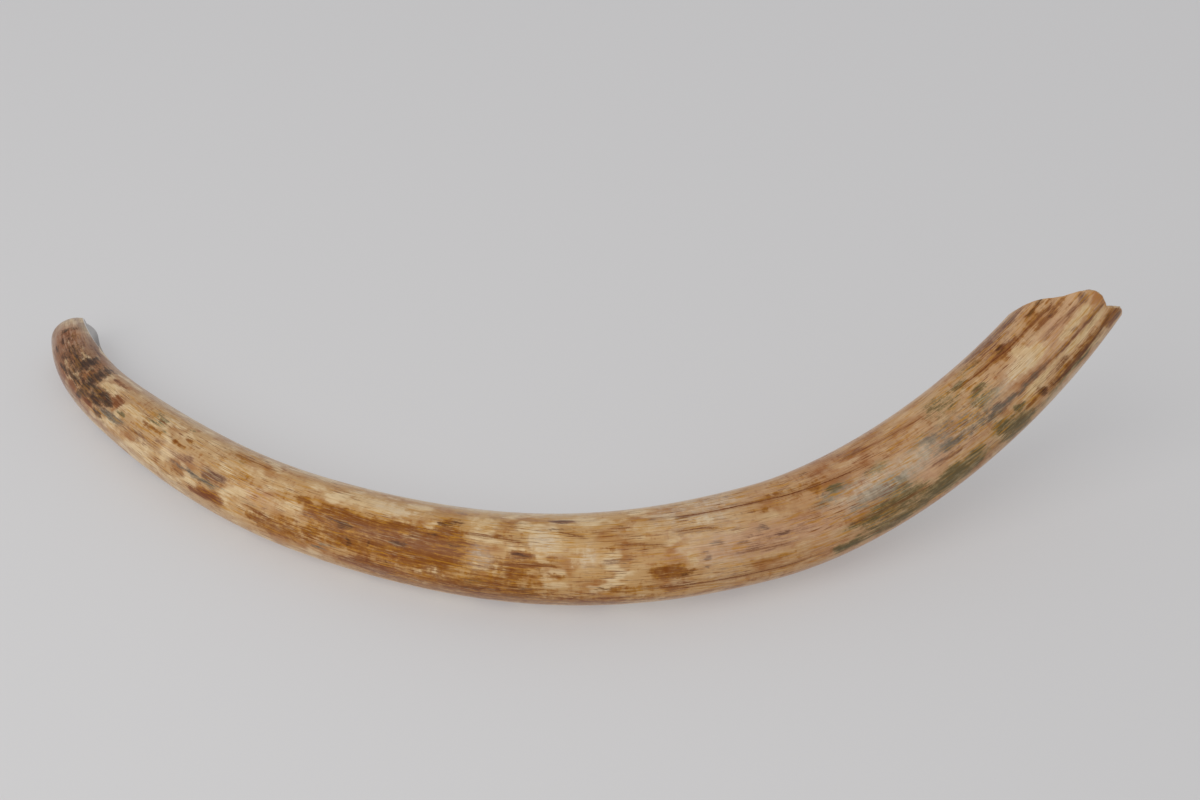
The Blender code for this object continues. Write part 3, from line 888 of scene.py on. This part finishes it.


# The worn face. The living animal rubbed the tip's inner side down to bare grey ivory and
# polished the edge of that face. The grey stands partly for bare ivory and partly for a painted
# reflection of the pale room; it darkens, as painted shade, where it runs out down towards the
# floor, and its edge carries a painted highlight.
# Painted reflection at the light end and painted shade at the dark end, over the face's own grey.
FACET_REFLECTION_AND_SHADE_TONES = ((188, 186, 184), (72, 71, 70))
FACET_PAINTED_SHADE = (16.0 * MM, 34.0 * MM)   # from its edge, between which it goes dark
FACET_SHADE_DOWN = 0.6              # how much going down the tusk counts against going round it
FACET_WIDTH = (26.0 * MM, 46.0 * MM, 1, 0)      # from its edge, where the grey of the face runs out
FACET_END = (0.018, 0.050, 1, 0)        # share of the length over which the grey ends
FACET_START = (0.0, 0.8 * MM, 0, 0.92)
# A painted highlight along the worn face's sharp, polished edge.
FACET_HIGHLIGHT_TONE = (236, 232, 226)        # the polished sharp edge
FACET_HIGHLIGHT = (0.3 * MM, 1.3 * MM, 1, 0)
FACET_HIGHLIGHT_END = (0.035, 0.055, 0.85, 0)


def worn_face_and_painted_light(tree, colour, noise):
    """Colour with the tip's worn grey face and its painted reflection, shade and edge highlight."""
    side = attribute(tree, "facet_side")
    down = attribute(tree, "share")
    # Painted shade: the grey darkens away from the edge and down the tusk, towards the floor.
    toward_floor = sums(tree, "MULTIPLY_ADD", down, LENGTH * FACET_SHADE_DOWN, side)
    light, dark = FACET_REFLECTION_AND_SHADE_TONES
    grey_and_shade = lay(tree, tone(light), tone(dark), ease(tree, toward_floor, *FACET_PAINTED_SHADE))
    worn = ease(tree, side, *FACET_WIDTH)
    worn = sums(tree, "MULTIPLY", worn, ease(tree, down, *FACET_END))
    worn = ragged(tree, worn, noise["mottle"])
    worn = sums(tree, "MULTIPLY", worn, ease(tree, side, *FACET_START))
    colour = lay(tree, colour, grey_and_shade, worn)
    # The painted highlight along the edge, fading out away from the tip.
    edge_highlight = ease(tree, sums(tree, "ABSOLUTE", side), *FACET_HIGHLIGHT)
    near_tip = ease(tree, down, *FACET_HIGHLIGHT_END)
    return lay(tree, colour, tone(FACET_HIGHLIGHT_TONE), sums(tree, "MULTIPLY", edge_highlight, near_tip))


# The torn root. The broken face of the wall shows clean pale ivory with brown specks, and the
# pulp cavity behind it is rough and brown.
CAVITY_TONES = ((172, 136, 94), (130, 97, 63))
CAVITY_MOTTLE = (0.2, 0.8)
CAVITY_FROM = (0.6, 0.95)       # how far in, from 0 outside to 1, the cavity's tones start
LIP_TONES = ((222, 186, 138), (150, 98, 52))
LIP_SPECKS = (0.4, 0.9)
LIP_FROM = (0.1, 0.45)


def torn_root(tree, colour, noise, inside):
    """Colour with the bare torn lip of the root and the brown cavity behind it."""
    light, dark = CAVITY_TONES
    cavity = lay(tree, tone(light), tone(dark), ease(tree, noise["mottle"], *CAVITY_MOTTLE))
    light, dark = LIP_TONES
    lip = lay(tree, tone(light), tone(dark), ease(tree, noise["specks"], *LIP_SPECKS))
    colour = lay(tree, colour, lip, ease(tree, inside, *LIP_FROM))
    return lay(tree, colour, cavity, ease(tree, inside, *CAVITY_FROM))


# The polish. The outside has been cleaned and waxed to a soft gloss, and the cavity is left dull.
# The finish goes on the whole skin, which stands in for the solid tusk.
POLISH = (0.30, 0.42)           # roughness of the outside
BARE = (0.1, 0.6, 0, 0.75)      # how far in, and the roughness there
GLOSS = {
    "IOR": 1.54,
    "Specular IOR Level": 0.18,
    "Coat Weight": 0.08,
    "Coat Roughness": 0.2,
    "Sheen Weight": 0.25,
    "Sheen Roughness": 0.3,
}
STREAK_HEIGHT = 0.05 * MM
MOTTLE_HEIGHT = 0.04 * MM
THREAD_HEIGHT = -0.1 * MM
BUMP_STRENGTH = 0.4


def ivory_material():
    """Polished, stained fossil ivory, its cracks, worn face and cavity, and painted light and shade.
    """
    material = bpy.data.materials.new("stained_ivory")
    material.use_nodes = True
    tree = material.node_tree
    shader = tree.nodes["Principled BSDF"]
    noise = {name: grain_noise(tree, *cells) for name, cells in NOISES.items()}
    inside = attribute(tree, "hollow")

    colour = stained_colour(tree, noise)
    colour, thread = crack_threads(tree, colour, noise)
    colour = worn_face_and_painted_light(tree, colour, noise)
    colour = torn_root(tree, colour, noise, inside)
    tree.links.new(colour, shader.inputs["Base Color"])

    polish = ease(tree, noise["mottle"], 0, 1, *POLISH, "LINEAR")
    rough = sums(tree, "MAXIMUM", polish, ease(tree, inside, *BARE))
    tree.links.new(rough, shader.inputs["Roughness"])
    for name, value in GLOSS.items():
        shader.inputs[name].default_value = value

    height = mean(
        tree,
        (noise["streaks"], STREAK_HEIGHT), (noise["mottle"], MOTTLE_HEIGHT), (thread, THREAD_HEIGHT),
    )
    wires = [("Height", height), ("Strength", BUMP_STRENGTH), ("Distance", 1.0)]
    bump = shader_node(tree, "ShaderNodeBump", wires)
    tree.links.new(bump.outputs[0], shader.inputs["Normal"])
    return material


mesh.materials.append(ivory_material())
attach(tusk, "root")
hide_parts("tusk")


# The floor. One wide sheet of milky board that runs out of sight on all sides. It is lit a
# little from below, so that the tusk's shadows stay soft and faint.
FLOOR_HALF = 30.0               # metres to each side
FLOOR_TONE = (178, 176, 174)
FLOOR_GLOW_TONE = (250, 250, 252)
FLOOR_GLOW = 0.27

floor_mesh = bpy.data.meshes.new("floor_board")
corners = [(x * FLOOR_HALF, y * FLOOR_HALF, 0) for x, y in ((-1, -1), (1, -1), (1, 1), (-1, 1))]
floor_mesh.from_pydata(corners, [], [(0, 1, 2, 3)])
floor = bpy.data.objects.new("floor_board", floor_mesh)
bpy.context.scene.collection.objects.link(floor)
board = bpy.data.materials.new("milky_board")
board.use_nodes = True
board_shader = board.node_tree.nodes["Principled BSDF"]
board_look = {
    "Base Color": tone(FLOOR_TONE),
    "Roughness": 0.7,
    "Specular IOR Level": 0.2,
    "Emission Color": tone(FLOOR_GLOW_TONE),
    "Emission Strength": FLOOR_GLOW,
}
for name, value in board_look.items():
    board_shader.inputs[name].default_value = value
floor_mesh.materials.append(board)


# The light. A pale room gives most of it, from all round. One broad softbox stands up on the
# left, in front of the tusk, and lays the shadow to the right and behind.
ROOM_TONE = (240, 241, 245)
ROOM_STRENGTH = 0.57
LIGHT_PLACE = (-1.6, -1.8, 2.4)
LIGHT_AIM = (0.0, 0.0, 0.0)
LIGHT_SIZE = 2.4                # metres along each side
LIGHT_WATTS = 37.0

world = bpy.context.scene.world or bpy.data.worlds.new("room")
bpy.context.scene.world = world
world.use_nodes = True
room = world.node_tree.nodes["Background"]
room.inputs["Color"].default_value = tone(ROOM_TONE)
room.inputs["Strength"].default_value = ROOM_STRENGTH

softbox = bpy.data.lights.new("softbox", "AREA")
softbox.shape = "SQUARE"
softbox.size = LIGHT_SIZE
softbox.energy = LIGHT_WATTS
lamp = bpy.data.objects.new("softbox", softbox)
lamp.location = LIGHT_PLACE
lamp.rotation_euler = (Vector(LIGHT_AIM) - Vector(LIGHT_PLACE)).to_track_quat("-Z", "Y").to_euler()
bpy.context.scene.collection.objects.link(lamp)


# The camera. It stands in front of the outside of the bend and looks down on the tusk, which
# fills the view's width from the tip on the left to the root on the right.
LENS = 65.0                     # millimetres, as the sensor's width is
SENSOR = 36.0
CAMERA_AIM = (0.0506, 0.0682, 0.060)
CAMERA_DISTANCE = 2.6
CAMERA_ELEVATION = 40.0         # degrees

camera_data = bpy.data.cameras.new("camera")
camera_data.lens = LENS
camera_data.sensor_width = SENSOR
camera = bpy.data.objects.new("camera", camera_data)
raised = math.radians(CAMERA_ELEVATION)
towards = Vector((0, -math.cos(raised), math.sin(raised)))
camera.location = Vector(CAMERA_AIM) + CAMERA_DISTANCE * towards
camera.rotation_euler = (math.radians(90 - CAMERA_ELEVATION), 0, 0)
bpy.context.scene.collection.objects.link(camera)
bpy.context.scene.camera = camera
bpy.context.scene.view_settings.view_transform = "Standard"
